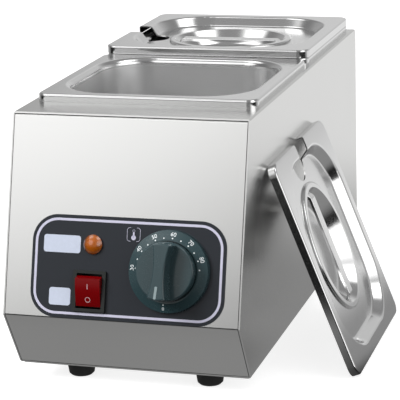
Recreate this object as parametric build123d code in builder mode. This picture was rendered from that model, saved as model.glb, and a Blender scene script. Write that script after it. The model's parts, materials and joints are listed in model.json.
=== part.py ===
from build123d import *
import os
from math import atan2, cos, degrees, radians, sin, tan

# A two-pan chocolate melter: a folded steel casing with a slanted front, two lift-out pans over one heated
# tank, a lid on the rear pan and the front pan's lid leaning against the right side.
# Millimetres. X to the right, Y to the back, Z up; the origin is the middle of the footprint, on the counter.

# Casing
body_width = 185.0
body_height = 211.5
top_length = 373.0
face_drop = 147.0
crease_reach = 43.1
toe_reach = 14.8
underside_height = 16.5
sheet = 1.2
bend_radius = 1.7
back_bend_radius = 4.0
back_corner_radius = 6.0
seam = 0.5
side_lip = 14.0
panel_lip = 8.0
bottom_inset = 2.0
corner_screw_inset = 26.0
bottom_screw_length = 5.0

# Pans: the standard sixth size, hanging by their rims in two cut-outs of the top
pan_length = 176.0
pan_width = 162.0
pan_depth = 100.0
pan_rim = 6.0
pan_corner = 8.0
pan_sheet = 1.0
pan_edge_radius = 2.0
bowl_length = 150.0
bowl_width = 137.0
bowl_corner = 38.0
bowl_draft = 4.5
bowl_throat_radius = 5.0
bowl_floor_radius = 14.0
front_margin = 36.0
pan_gap = 2.0
well_clearance = 2.5

# Lids
lid_length = 176.5
lid_width = 162.5
lid_rim = 6.5
lid_corner = 9.0
lid_sheet = 1.0
lid_edge_radius = 1.5
step_length = 154.0
step_width = 141.0
step_corner = 44.0
step_drop = 8.0
step_draft = 36.0
step_throat_radius = 3.0
step_floor_radius = 2.5
dish_length = 98.0
dish_width = 82.0
dish_depth = 10.5
dish_draft = 42.0
dish_floor_radius = 6.0
bead_width = 5.0
bead_height = 2.0
bead_radius = 1.5
notch_width = 28.0
notch_depth = 31.5
handle_width = 10.5
handle_sheet = 2.5
handle_foot = 7.0
handle_drop = 5.0
handle_below_bead = 0.4
handle_bend_radius = 3.0
handle_edge_radius = 0.8
rear_lid_back = -1.0
lid_lean = 21.4
lean_gap = 0.3
lean_start = 40.0

# Water tank and heater
tank_margin = 1.5
tank_sheet = 1.0
tank_flange = 6.0
tank_corner = 24.0
water_depth = 12.0
heater_plate_length = 268.0
heater_plate_width = 124.0
heater_plate_sheet = 3.0
heater_tube_radius = 4.0
heater_run_spacing = 60.0
heater_run_length = 226.0
heater_bend_radius = 14.0
heater_tail = 18.0
contact_gap = 0.1
clamp_width = 12.0
clamp_sheet = 1.5
clamp_spacing = 140.0
clamp_length = 84.0
clamp_corner = 2.0
stud_radius = 2.0
thread_end = 1.0
nut_across_flats = 7.0
nut_height = 3.2
cutout_radius = 8.0
cutout_height = 9.0
cutout_flange = 1.0
cutout_tab_width = 6.3
cutout_tab_length = 8.0
cutout_tab_sheet = 0.8

# Control panel on the slanted face: the fascia is placed from the casing's middle and down the face from its
# top edge, and the controls to the right of the fascia's middle and down from it
fascia_length = 151.0
fascia_height = 77.0
fascia_corner = 20.0
fascia_sheet = 0.8
fascia_x = 4.4
fascia_down = 114.2
lamp_offset = -27.3
lamp_drop = -17.2
lamp_radius = 7.3
lamp_flange = 1.6
lamp_dome = 3.4
lamp_barrel_radius = 5.0
lamp_barrel_length = 24.0
lamp_nut_radius = 7.5
lamp_nut_height = 3.0
rocker_offset = -28.5
rocker_drop = 17.6
rocker_bezel_width = 25.6
rocker_bezel_height = 30.7
rocker_bezel_rise = 2.2
rocker_bezel_corner = 1.2
rocker_body_width = 22.6
rocker_body_height = 28.6
rocker_wall = 1.3
rocker_body_depth = 20.0
rocker_cutout_gap = 0.2
paddle_gap = 0.35
paddle_face = 21.4
paddle_rise = 4.2
paddle_face_radius = 60.0
paddle_shoulder = 22.4
paddle_shoulder_sink = 1.6
paddle_keel_width = 8.0
paddle_sink = 5.5
paddle_throw = 28.0
pivot_radius = 1.5
pivot_clearance = 0.05
pivot_reach = 0.8
spade_width = 4.8
spade_sheet = 0.8
spade_length = 8.0
spade_pitch = 9.0
dial_offset = 32.9
dial_drop = -0.5
dial_radius = 31.0
dial_edge = 4.0
dial_rise = 6.2
dial_side_draft = 0.6
dial_land = 1.0
dial_recess_floor = 1.2
knob_radius = 22.0
knob_gap = 0.6
knob_head_gap = 0.4
knob_disc_top = 15.5
knob_top = 29.0
knob_rib_end = 16.6
knob_rib_waist = 11.4
knob_rib_draft = 3.0
knob_edge_radius = 1.2
knob_turned = 3.5
shaft_radius = 3.0
shaft_clearance = 0.05
shaft_end_gap = 0.2
shaft_top = 13.0
shaft_depth = 8.0
bush_radius = 4.8
thermostat_width = 42.0
thermostat_height = 36.0
thermostat_depth = 24.0
thermostat_corner = 3.0
thermostat_screw_pitch = 28.0
thermostat_screw_depth = 6.0
thermostat_spade_pitch = 20.0
small_screw_radius = 1.5
small_head_radius = 2.9
small_head_height = 1.8
bulb_radius = 3.0
bulb_length = 70.0
bulb_above_floor = 22.5
bulb_start = 110.0
capillary_radius = 1.0
capillary_bend = 7.0
capillary_stub = 16.0
capillary_run = 20.0
capillary_side = 15.5
capillary_up = 8.0
clip_sheet = 0.8
clip_width = 14.0
clip_foot = 6.0

# Wiring and cord entry at the back
gland_inset = 40.5
gland_height = 44.0
gland_bore_radius = 4.0
gland_thread_radius = 8.0
gland_flat = 22.0
gland_collar = 5.0
gland_thread_length = 11.0
gland_dome_length = 13.0
gland_dome_radius = 9.6
gland_dome_chamfer = 3.2
locknut_height = 4.0
terminal_length = 34.0
terminal_width = 18.0
terminal_height = 17.0
terminal_corner = 1.5
terminal_pitch = 10.0
terminal_hole = 4.2
terminal_screw_radius = 1.9
terminal_setback = 60.0
earth_setback = 30.0
earth_stud_length = 16.0

# Feet
foot_inset = 40.1
foot_front = 12.4
foot_rear = 36.0
foot_radius = 12.0
foot_base_radius = 10.0
foot_pocket_radius = 6.0
foot_pocket_depth = 8.0
foot_edge = 1.5
foot_screw_radius = 2.5
foot_head_radius = 4.6
foot_head_height = 2.8
foot_nut_flat = 8.0
foot_nut_height = 4.0
screw_clearance = 0.2

# Vents in the bottom
vent_length = 44.0
vent_width = 4.0
vent_pitch = 22.0
vent_rows = 4
vent_column_spacing = 60.0

# Places that follow from the sizes
half = body_width / 2
crease_height = body_height - face_drop
lean = radians(lid_lean)
lean_square = lid_length - lid_edge_radius
lid_reach = lean_gap + lean_square * sin(lean) + (lid_rim - lid_edge_radius) * cos(lean) + lid_edge_radius
face_tilt = degrees(atan2(crease_reach, face_drop))
tilt = radians(face_tilt)
lamp_x = fascia_x + lamp_offset
lamp_down = fascia_down + lamp_drop
rocker_x = fascia_x + rocker_offset
rocker_down = fascia_down + rocker_drop
dial_x = fascia_x + dial_offset
dial_down = fascia_down + dial_drop
knob_under = small_head_height + knob_head_gap
knob_rise = knob_top - fascia_sheet - knob_under
knob_low = dial_down + knob_radius - knob_rise * tan(radians(knob_rib_draft)) - knob_edge_radius
knob_reach = knob_low * sin(tilt) + (knob_top - knob_edge_radius) * cos(tilt) + knob_edge_radius
gland_reach = gland_collar + gland_dome_length
body_x = -lid_reach / 2
front_y = (knob_reach - top_length - gland_reach) / 2
back_y = front_y + top_length
crease_y = front_y - crease_reach
toe_y = front_y - toe_reach
top_under = body_height - sheet
lip_top = underside_height + sheet
panel_width = body_width - 2 * sheet - 2 * seam

front_pan_y = front_y + front_margin + pan_width / 2
rear_pan_y = front_pan_y + pan_width + pan_gap
rim_top = body_height + pan_rim
bowl_outer_length = bowl_length + 2 * pan_sheet
bowl_outer_width = bowl_width + 2 * pan_sheet
well_length = bowl_outer_length + 2 * well_clearance
well_width = bowl_outer_width + 2 * well_clearance
well_corner = bowl_corner + pan_sheet + well_clearance

tank_length = rear_pan_y - front_pan_y + well_width + 2 * tank_margin
tank_width = well_length + 2 * tank_margin
tank_y = (front_pan_y + rear_pan_y) / 2
tank_floor = rim_top - pan_depth - water_depth
tank_under = tank_floor - tank_sheet
bulb_height = tank_floor + bulb_above_floor
heater_under = tank_under - heater_plate_sheet
tube_height = heater_under - heater_tube_radius - contact_gap
clamp_top = tube_height - heater_tube_radius - contact_gap

face = Plane(
    origin=(body_x, front_y, body_height),
    x_dir=(1, 0, 0),
    z_dir=(0, -cos(tilt), sin(tilt)),
)


def on_face(x, down, out=0.0):
    """A plane parallel to the slanted face: x from the middle, down from the top edge and out of it."""
    return Plane(origin=face.from_local_coords((x, -down, out)), x_dir=face.x_dir, z_dir=face.z_dir)


def turned(plane, angle):
    """A plane turned about its own normal."""
    return Plane(plane.location * Rotation(0, 0, angle))


def level(x, y, z):
    """A level plane with its origin x from the casing's middle."""
    return Plane(origin=(body_x + x, y, z), x_dir=(1, 0, 0), z_dir=(0, 0, 1))


def level_face(part, height):
    """The level face of a part that is nearest to a height."""
    return part.faces().filter_by(Axis.Z).sort_by(lambda face: abs(face.center().Z - height))[0]


def folded_sheet(plane, corners, side, width, bend=bend_radius):
    """A sheet bent along the corners of its outer side, drawn in plane, and width wide across it."""
    with BuildPart() as piece:
        with BuildSketch(plane):
            with BuildLine():
                FilletPolyline(*corners, radius=bend)
                offset(amount=sheet, side=side)
            make_face()
        extrude(amount=width / 2, both=True)
    return piece.part


def tapered_tub(plane, length, width, corner, depth, draft, floor_radius=0):
    """A solid tub with its mouth at plane, depth deep, drafted inward and rounded at the floor."""
    with BuildPart() as tub:
        with BuildSketch(plane):
            RectangleRounded(length, width, corner)
        extrude(amount=-depth, taper=draft)
        if floor_radius:
            fillet(tub.faces().sort_by(Axis.Z)[0].edges(), floor_radius)
    return tub.part


# Casing: one sheet folded over as sides and top, trimmed to the side outline, with two pan cut-outs
across = Plane(origin=(body_x, (crease_y + back_y) / 2, 0), x_dir=(1, 0, 0), z_dir=(0, -1, 0))
along = Plane(origin=(body_x, 0, 0), x_dir=(0, 1, 0), z_dir=(1, 0, 0))
side_outline = [
    (front_y, body_height),
    (back_y, body_height),
    (back_y, underside_height),
    (toe_y, underside_height),
    (crease_y, crease_height),
]
casing_blank = folded_sheet(
    across,
    [
        (side_lip - half, underside_height),
        (-half, underside_height),
        (-half, body_height),
        (half, body_height),
        (half, underside_height),
        (half - side_lip, underside_height),
    ],
    Side.RIGHT,
    back_y - crease_y,
)
well_planes = [level(0, front_pan_y, body_height), level(0, rear_pan_y, body_height)]
bottom_screw_x = half - side_lip / 2
bottom_screw_y = [toe_y + corner_screw_inset, back_y - corner_screw_inset]
bottom_screw_places = [(body_x + s * bottom_screw_x, y) for s in (-1, 1) for y in bottom_screw_y]
with BuildPart() as casing:
    add(casing_blank)
    with BuildSketch(along):
        with BuildLine():
            FilletPolyline(*side_outline, radius=(0, back_corner_radius, 0, 0, 0), close=True)
        make_face()
    extrude(amount=half, both=True, mode=Mode.INTERSECT)
    for plane in well_planes:
        with BuildSketch(plane):
            RectangleRounded(well_length, well_width, well_corner)
        extrude(amount=-sheet, mode=Mode.SUBTRACT)
    with BuildSketch(Plane.XY.offset(underside_height)):
        with Locations(*bottom_screw_places):
            Circle(small_screw_radius + screw_clearance)
    extrude(amount=sheet, mode=Mode.SUBTRACT)

# Front panel: lip under the top, slanted face, crease, tuck back to the toe and lip on the side lips
panel_top = top_under - seam
face_slope = crease_reach / face_drop
tuck_slope = (crease_reach - toe_reach) / (crease_height - underside_height)
panel_top_y = front_y - (body_height - panel_top) * face_slope
panel_toe_y = toe_y - (lip_top - underside_height) * tuck_slope
front_panel_blank = folded_sheet(
    along,
    [
        (panel_top_y + panel_lip, panel_top),
        (panel_top_y, panel_top),
        (crease_y, crease_height),
        (panel_toe_y, lip_top),
        (panel_toe_y + panel_lip, lip_top),
    ],
    Side.LEFT,
    panel_width,
)
thermostat_screw_places = [(s * thermostat_screw_pitch / 2, 0) for s in (-1, 1)]
rocker_cutout = (rocker_body_width + 2 * rocker_cutout_gap, rocker_body_height + 2 * rocker_cutout_gap)
with BuildPart() as control_holes:
    with BuildSketch(face):
        with Locations((lamp_x, -lamp_down)):
            Circle(lamp_barrel_radius + screw_clearance)
        with Locations((rocker_x, -rocker_down)):
            Rectangle(*rocker_cutout)
        with Locations((dial_x, -dial_down)):
            Circle(bush_radius + screw_clearance)
            with Locations(*thermostat_screw_places):
                Circle(small_screw_radius + screw_clearance)
    extrude(amount=2 * sheet, both=True)

with BuildPart() as front_panel:
    add(front_panel_blank)
    add(control_holes.part, mode=Mode.SUBTRACT)

# Back panel, with the hole for the cord gland
back_panel_blank = folded_sheet(
    along,
    [
        (back_y - panel_lip, panel_top),
        (back_y, panel_top),
        (back_y, lip_top),
        (back_y - panel_lip, lip_top),
    ],
    Side.RIGHT,
    panel_width,
    back_bend_radius,
)
gland_x = gland_inset - half
gland_plane = Plane(origin=(body_x + gland_x, back_y, gland_height), x_dir=(-1, 0, 0), z_dir=(0, 1, 0))
with BuildPart() as back_panel:
    add(back_panel_blank)
    with BuildSketch(gland_plane):
        Circle(gland_thread_radius + screw_clearance)
    extrude(amount=-2 * sheet, mode=Mode.SUBTRACT)

# Bottom plate, screwed up into the side lips, with vents and the holes of the feet
foot_x = half - foot_inset
foot_front_y = front_y + foot_front
foot_rear_y = back_y - foot_rear
foot_places = {
    "front_left_foot": (body_x - foot_x, foot_front_y),
    "front_right_foot": (body_x + foot_x, foot_front_y),
    "rear_left_foot": (body_x - foot_x, foot_rear_y),
    "rear_right_foot": (body_x + foot_x, foot_rear_y),
}
plate_under = underside_height - sheet
plate_length = back_y - toe_y - 2 * bottom_inset
plate_middle = (back_y + toe_y) / 2
terminal_y = back_y - terminal_setback
earth_place = (body_x + gland_x + terminal_length, back_y - earth_setback)
with BuildPart() as bottom_plate:
    with BuildSketch(Plane.XY.offset(plate_under)):
        with Locations((body_x, plate_middle)):
            RectangleRounded(body_width - 2 * bottom_inset, plate_length, bend_radius)
        with Locations(*foot_places.values()):
            Circle(foot_screw_radius + screw_clearance, mode=Mode.SUBTRACT)
        with Locations(*bottom_screw_places):
            Circle(small_screw_radius + screw_clearance, mode=Mode.SUBTRACT)
        with Locations((body_x, tank_y)):
            with GridLocations(vent_column_spacing, vent_pitch, 2, vent_rows):
                SlotOverall(vent_length, vent_width, mode=Mode.SUBTRACT)
        with Locations(earth_place):
            Circle(stud_radius + screw_clearance, mode=Mode.SUBTRACT)
    extrude(amount=sheet)


# Feet: tapered rubber feet, turned around the screw, with a pocket for its head
def make_foot(place):
    with BuildPart() as foot:
        with BuildSketch(Plane(origin=(*place, 0), x_dir=(1, 0, 0), z_dir=(0, -1, 0))):
            with BuildLine():
                Polyline(
                    (foot_pocket_radius, 0),
                    (foot_base_radius - foot_edge, 0),
                    (foot_base_radius, foot_edge),
                    (foot_radius, plate_under),
                    (foot_screw_radius + screw_clearance, plate_under),
                    (foot_screw_radius + screw_clearance, foot_pocket_depth),
                    (foot_pocket_radius, foot_pocket_depth),
                    close=True,
                )
            make_face()
        revolve(axis=Axis((*place, 0), (0, 0, 1)))
    return foot


feet = {name: make_foot(place) for name, place in foot_places.items()}

with BuildPart() as foot_screws:
    with BuildSketch(Plane.XY.offset(foot_pocket_depth)):
        with Locations(*foot_places.values()):
            RegularPolygon(foot_head_radius, 6)
    extrude(amount=-foot_head_height)
    with BuildSketch(Plane.XY.offset(foot_pocket_depth)):
        with Locations(*foot_places.values()):
            Circle(foot_screw_radius)
    extrude(amount=underside_height + foot_nut_height + thread_end - foot_pocket_depth)

with BuildPart() as foot_nuts:
    with BuildSketch(Plane.XY.offset(underside_height)):
        with Locations(*foot_places.values()):
            RegularPolygon(foot_nut_flat / 2, 6, major_radius=False)
            Circle(foot_screw_radius, mode=Mode.SUBTRACT)
    extrude(amount=foot_nut_height)

with BuildPart() as bottom_screws:
    with BuildSketch(Plane.XY.offset(plate_under)):
        with Locations(*bottom_screw_places):
            Circle(small_head_radius)
    extrude(amount=-small_head_height)
    chamfer(bottom_screws.edges().group_by(Axis.Z)[0], small_head_height / 2)
    with BuildSketch(Plane.XY.offset(plate_under)):
        with Locations(*bottom_screw_places):
            Circle(small_screw_radius)
    extrude(amount=bottom_screw_length)


# Pans: a drawn bowl with a wide rim, turned down at its edge, that rests on the top
def make_pan(seat):
    with BuildPart() as pan:
        with BuildSketch(seat):
            RectangleRounded(pan_length, pan_width, pan_corner)
        extrude(amount=pan_rim)
        fillet(level_face(pan, rim_top).edges(), pan_edge_radius)
        with BuildSketch(seat):
            RectangleRounded(pan_length - 2 * pan_sheet, pan_width - 2 * pan_sheet, pan_corner - pan_sheet)
        extrude(amount=pan_rim - pan_sheet, mode=Mode.SUBTRACT)
        mouth = seat.offset(pan_rim - pan_sheet / 2)
        outside = (bowl_outer_length, bowl_outer_width, bowl_corner + pan_sheet, pan_depth - pan_sheet / 2)
        add(tapered_tub(mouth, *outside, bowl_draft, bowl_floor_radius + pan_sheet))
        fillet(level_face(pan, rim_top - pan_sheet).inner_wires()[0].edges(), bowl_throat_radius - pan_sheet)
        inside = (bowl_length, bowl_width, bowl_corner, pan_depth - pan_sheet)
        add(tapered_tub(seat.offset(pan_rim), *inside, bowl_draft, bowl_floor_radius), mode=Mode.SUBTRACT)
        fillet(level_face(pan, rim_top).inner_wires()[0].edges(), bowl_throat_radius)
    return pan


front_pan = make_pan(well_planes[0])
rear_pan = make_pan(well_planes[1])

# Lid, drawn level with its skirt's lower edge at zero: skirt, rim, stepped-down panel, beaded dish, notch
panel_level = lid_rim - step_drop
bead_top = panel_level + bead_height
dish_floor = panel_level - dish_depth
dish_inset = (bead_height + dish_depth) * tan(radians(dish_draft))


def dish_solid(grown, floor_radius):
    """The dish's hollow, or with grown the outside of its wall, from above the bead down to the floor."""
    with BuildPart() as dish:
        with BuildSketch(Plane.XY.offset(bead_top)):
            Ellipse(dish_length / 2 + grown, dish_width / 2 + grown)
        with BuildSketch(Plane.XY.offset(dish_floor - grown)):
            Ellipse(dish_length / 2 + grown - dish_inset, dish_width / 2 + grown - dish_inset)
        loft()
        fillet(dish.faces().sort_by(Axis.Z)[0].edges(), floor_radius)
    return dish.part


dish_hollow = dish_solid(0, dish_floor_radius)
with BuildPart() as lid_blank:
    with BuildSketch():
        RectangleRounded(lid_length, lid_width, lid_corner)
    extrude(amount=lid_rim)
    fillet(level_face(lid_blank, lid_rim).edges(), lid_edge_radius)
    with BuildSketch():
        RectangleRounded(lid_length - 2 * lid_sheet, lid_width - 2 * lid_sheet, lid_corner - lid_sheet)
    extrude(amount=lid_rim - lid_sheet, mode=Mode.SUBTRACT)
    step_mouth = Plane.XY.offset(lid_rim - lid_sheet / 2)
    step_outside = (step_length + 2 * lid_sheet, step_width + 2 * lid_sheet, step_corner + lid_sheet)
    add(tapered_tub(step_mouth, *step_outside, step_drop + lid_sheet / 2, step_draft))
    step_inside = (step_length, step_width, step_corner)
    add(tapered_tub(Plane.XY.offset(lid_rim), *step_inside, step_drop, step_draft), mode=Mode.SUBTRACT)
    fillet(level_face(lid_blank, lid_rim).inner_wires()[0].edges(), step_throat_radius)
    fillet(level_face(lid_blank, panel_level).outer_wire().edges(), step_floor_radius)
    with BuildSketch(Plane.XY.offset(panel_level - lid_sheet / 2)):
        Ellipse(dish_length / 2 + bead_width, dish_width / 2 + bead_width)
    extrude(amount=bead_height + lid_sheet / 2)
    fillet(level_face(lid_blank, bead_top).edges(), bead_radius)
    dish_outside = dish_solid(lid_sheet, dish_floor_radius + lid_sheet)
    add(dish_outside.split(Plane.XY.offset(panel_level), keep=Keep.BOTTOM))
    add(dish_hollow, mode=Mode.SUBTRACT)
    with BuildSketch(Plane.XY.offset(dish_floor)):
        with Locations((-lid_length / 2, 0)):
            Rectangle(2 * (notch_depth - notch_width / 2), notch_width)
        with Locations((notch_depth - notch_width / 2 - lid_length / 2, 0)):
            Circle(notch_width / 2)
    extrude(amount=lid_rim - dish_floor, mode=Mode.SUBTRACT)

# Handle: a strap across the dish, its two ends bent down to meet the dish's wall
strap_top = bead_top - handle_below_bead
with BuildPart() as handle_blank:
    with BuildSketch(Plane.XZ):
        with BuildLine():
            FilletPolyline(
                (-dish_length / 2, strap_top - handle_drop),
                (-dish_length / 2 + handle_foot, strap_top),
                (dish_length / 2 - handle_foot, strap_top),
                (dish_length / 2, strap_top - handle_drop),
                radius=handle_bend_radius,
            )
            offset(amount=handle_sheet, side=Side.RIGHT)
        make_face()
    extrude(amount=handle_width / 2, both=True)
    fillet(handle_blank.faces().sort_by(Axis.Z)[-1].edges().filter_by(Axis.X), handle_edge_radius)
    add(dish_hollow, mode=Mode.INTERSECT)

rear_lid_y = rear_pan_y + rear_lid_back
rear_lid_plane = level(0, rear_lid_y, rim_top)
with BuildPart() as rear_lid:
    with Locations(rear_lid_plane.location):
        add(lid_blank.part)
with BuildPart() as rear_lid_handle:
    with Locations(rear_lid_plane.location):
        add(handle_blank.part)

# The front pan's lid stands on the counter on its edge, leaning back on the casing's top right edge
lean_foot_x = body_x + half + lean_gap + lid_length / 2 * sin(lean)
leaning_plane = Plane(
    origin=(lean_foot_x, front_y + lean_start + lid_width / 2, lid_length / 2 * cos(lean)),
    x_dir=(sin(lean), 0, -cos(lean)),
    z_dir=(cos(lean), 0, sin(lean)),
)
with BuildPart() as front_lid:
    with Locations(leaning_plane.location):
        add(lid_blank.part)
with BuildPart() as front_lid_handle:
    with Locations(leaning_plane.location):
        add(handle_blank.part)

# Water tank: one tub under both cut-outs, hung by its flange from the underside of the top
tank_seat = level(0, tank_y, top_under)
tank_depth = top_under - tank_floor
with BuildPart() as water_tank:
    with BuildSketch(tank_seat):
        outer = (tank_width + 2 * tank_sheet, tank_length + 2 * tank_sheet)
        RectangleRounded(outer[0] + 2 * tank_flange, outer[1] + 2 * tank_flange, tank_corner + tank_flange)
    extrude(amount=-tank_sheet)
    add(tapered_tub(tank_seat, *outer, tank_corner + tank_sheet, tank_depth + tank_sheet, 0))
    add(tapered_tub(tank_seat, tank_width, tank_length, tank_corner, tank_depth, 0), mode=Mode.SUBTRACT)

# Heater under the tank: plate with studs, a bent tube element, two clamps and their nuts
heater_plane = level(0, tank_y, heater_under)
stud_places = [(0, -clamp_spacing / 2), (0, clamp_spacing / 2)]
with BuildPart() as heater_plate:
    with BuildSketch(heater_plane):
        RectangleRounded(heater_plate_width, heater_plate_length, heater_bend_radius)
    extrude(amount=heater_plate_sheet)
    with BuildSketch(heater_plane):
        with Locations(*stud_places):
            Circle(stud_radius)
    extrude(amount=-(heater_under - clamp_top + clamp_sheet + nut_height + thread_end))

run_x = heater_run_spacing / 2
run_half = heater_run_length / 2
tube_plane = level(0, tank_y, tube_height)
with BuildPart() as heating_element:
    with BuildLine(tube_plane) as tube_line:
        FilletPolyline(
            (-run_x, -run_half - heater_tail),
            (-run_x, run_half),
            (run_x, run_half),
            (run_x, -run_half - heater_tail),
            radius=heater_bend_radius,
        )
    with BuildSketch(Plane(origin=tube_line.line @ 0, z_dir=tube_line.line % 0)):
        Circle(heater_tube_radius)
    sweep()
    for end, way in ((0, -1), (1, 1)):
        tube_end = Plane(origin=tube_line.line @ end, z_dir=way * (tube_line.line % end))
        with BuildSketch(tube_end):
            Circle(stud_radius / 2)
        extrude(amount=heater_tail / 2)

clamp_plane = heater_plane.offset(clamp_top - heater_under - clamp_sheet)
with BuildPart() as element_clamps:
    with BuildSketch(clamp_plane):
        with Locations(*stud_places):
            RectangleRounded(clamp_length, clamp_width, clamp_corner)
            Circle(stud_radius + screw_clearance, mode=Mode.SUBTRACT)
    extrude(amount=clamp_sheet)

with BuildPart() as clamp_nuts:
    with BuildSketch(clamp_plane):
        with Locations(*stud_places):
            RegularPolygon(nut_across_flats / 2, 6, major_radius=False)
            Circle(stud_radius, mode=Mode.SUBTRACT)
    extrude(amount=-nut_height)

# Overheat cut-out: a button thermostat on the plate's underside, between the runs of the element
with BuildPart() as overheat_cutout:
    with BuildSketch(heater_plane):
        Circle(cutout_radius + cutout_flange)
    extrude(amount=-cutout_flange)
    with BuildSketch(heater_plane):
        Circle(cutout_radius)
    extrude(amount=-cutout_height)
    with BuildSketch(heater_plane.offset(-cutout_height)):
        with Locations((0, cutout_radius / 2), (0, -cutout_radius / 2)):
            Rectangle(cutout_tab_width, cutout_tab_sheet)
    extrude(amount=-cutout_tab_length)

# Control panel on the slanted face
panel_face = on_face(fascia_x, fascia_down)
with BuildPart() as control_fascia:
    with BuildSketch(panel_face):
        RectangleRounded(fascia_length, fascia_height, fascia_corner)
    extrude(amount=fascia_sheet)
    add(control_holes.part, mode=Mode.SUBTRACT)

lamp_plane = on_face(lamp_x, lamp_down, fascia_sheet)
lamp_section = Plane(origin=lamp_plane.origin, x_dir=lamp_plane.x_dir, z_dir=-lamp_plane.y_dir)
dome_radius = (lamp_radius**2 + lamp_dome**2) / (2 * lamp_dome)
with BuildPart() as indicator_lens:
    with BuildSketch(lamp_section):
        with BuildLine():
            Polyline((0, lamp_flange + lamp_dome), (0, 0), (lamp_radius, 0), (lamp_radius, lamp_flange))
            RadiusArc((lamp_radius, lamp_flange), (0, lamp_flange + lamp_dome), -dome_radius)
        make_face()
    revolve(axis=Axis(lamp_plane.origin, lamp_plane.z_dir))

with BuildPart() as indicator_body:
    with BuildSketch(lamp_plane):
        Circle(lamp_barrel_radius)
    extrude(amount=-lamp_barrel_length)
    with BuildSketch(lamp_plane.offset(-fascia_sheet - sheet)):
        RegularPolygon(lamp_nut_radius, 6)
    extrude(amount=-lamp_nut_height)
    with BuildSketch(lamp_plane.offset(-lamp_barrel_length)):
        with Locations((0, lamp_barrel_radius / 2), (0, -lamp_barrel_radius / 2)):
            Rectangle(spade_width / 2, spade_sheet)
    extrude(amount=-spade_length)

# Rocker switch: hollow body with a bezel, and a paddle that rocks on two pins
rocker_plane = on_face(rocker_x, rocker_down, fascia_sheet)
with BuildPart() as rocker_body:
    with BuildSketch(rocker_plane):
        RectangleRounded(rocker_bezel_width, rocker_bezel_height, rocker_bezel_corner)
    extrude(amount=rocker_bezel_rise)
    with BuildSketch(rocker_plane):
        Rectangle(rocker_body_width, rocker_body_height)
    extrude(amount=-rocker_body_depth)
    with BuildSketch(rocker_plane.offset(rocker_bezel_rise)):
        Rectangle(rocker_body_width - 2 * rocker_wall, rocker_body_height - 2 * rocker_wall)
    extrude(amount=-(rocker_bezel_rise + rocker_body_depth - 2 * rocker_wall), mode=Mode.SUBTRACT)
    with BuildSketch(rocker_plane.offset(-rocker_body_depth)):
        with Locations(*[(0, k * spade_pitch) for k in (-1, 0, 1)]):
            Rectangle(spade_width, spade_sheet)
    extrude(amount=-spade_length)
    pivot_bore = Plane(origin=rocker_plane.origin, x_dir=rocker_plane.z_dir, z_dir=(1, 0, 0))
    with BuildSketch(pivot_bore):
        Circle(pivot_radius + pivot_clearance)
    extrude(amount=rocker_body_width / 2 - rocker_wall + pivot_reach, both=True, mode=Mode.SUBTRACT)

paddle_width = rocker_body_width - 2 * rocker_wall - 2 * paddle_gap
rocker_side = Plane(origin=rocker_plane.origin, x_dir=rocker_plane.y_dir, z_dir=rocker_plane.x_dir)
with BuildPart() as rocker_paddle:
    with BuildSketch(turned(rocker_side, paddle_throw / 2)):
        with BuildLine():
            RadiusArc((-paddle_face / 2, paddle_rise), (paddle_face / 2, paddle_rise), paddle_face_radius)
            Polyline(
                (paddle_face / 2, paddle_rise),
                (paddle_shoulder / 2, -paddle_shoulder_sink),
                (paddle_keel_width / 2, -paddle_sink),
                (-paddle_keel_width / 2, -paddle_sink),
                (-paddle_shoulder / 2, -paddle_shoulder_sink),
                (-paddle_face / 2, paddle_rise),
            )
        make_face()
    extrude(amount=paddle_width / 2, both=True)
    with BuildSketch(pivot_bore):
        Circle(pivot_radius)
    extrude(amount=rocker_body_width / 2 - rocker_wall + pivot_reach, both=True)

# Thermostat: body behind the panel, shaft, fixed ring with the scale and the knob
dial_plane = on_face(dial_x, dial_down, fascia_sheet)
thermostat_plane = on_face(dial_x, dial_down, -sheet)
with BuildPart() as thermostat_body:
    with BuildSketch(thermostat_plane):
        RectangleRounded(thermostat_width, thermostat_height, thermostat_corner)
    extrude(amount=-thermostat_depth)
    with BuildSketch(thermostat_plane):
        Circle(bush_radius)
    extrude(amount=sheet + fascia_sheet)
    with BuildSketch(thermostat_plane.offset(sheet + fascia_sheet)):
        Circle(shaft_radius + shaft_clearance)
    extrude(amount=-(sheet + fascia_sheet + shaft_depth), mode=Mode.SUBTRACT)
    with BuildSketch(thermostat_plane):
        with Locations(*thermostat_screw_places):
            Circle(small_screw_radius)
    extrude(amount=-(thermostat_screw_depth + thread_end), mode=Mode.SUBTRACT)
    with BuildSketch(thermostat_plane.offset(-thermostat_depth)):
        with Locations((-thermostat_spade_pitch / 2, 0), (thermostat_spade_pitch / 2, 0)):
            Rectangle(spade_sheet, spade_width)
    extrude(amount=-spade_length)

with BuildPart() as thermostat_screws:
    with BuildSketch(dial_plane):
        with Locations(*thermostat_screw_places):
            Circle(small_head_radius)
    extrude(amount=small_head_height)
    with BuildSketch(dial_plane):
        with Locations(*thermostat_screw_places):
            Circle(small_screw_radius)
    extrude(amount=-(sheet + fascia_sheet + thermostat_screw_depth))

with BuildPart() as thermostat_shaft:
    with BuildSketch(thermostat_plane.offset(shaft_end_gap - shaft_depth)):
        Circle(shaft_radius)
    extrude(amount=sheet + shaft_depth - shaft_end_gap + shaft_top)

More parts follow.
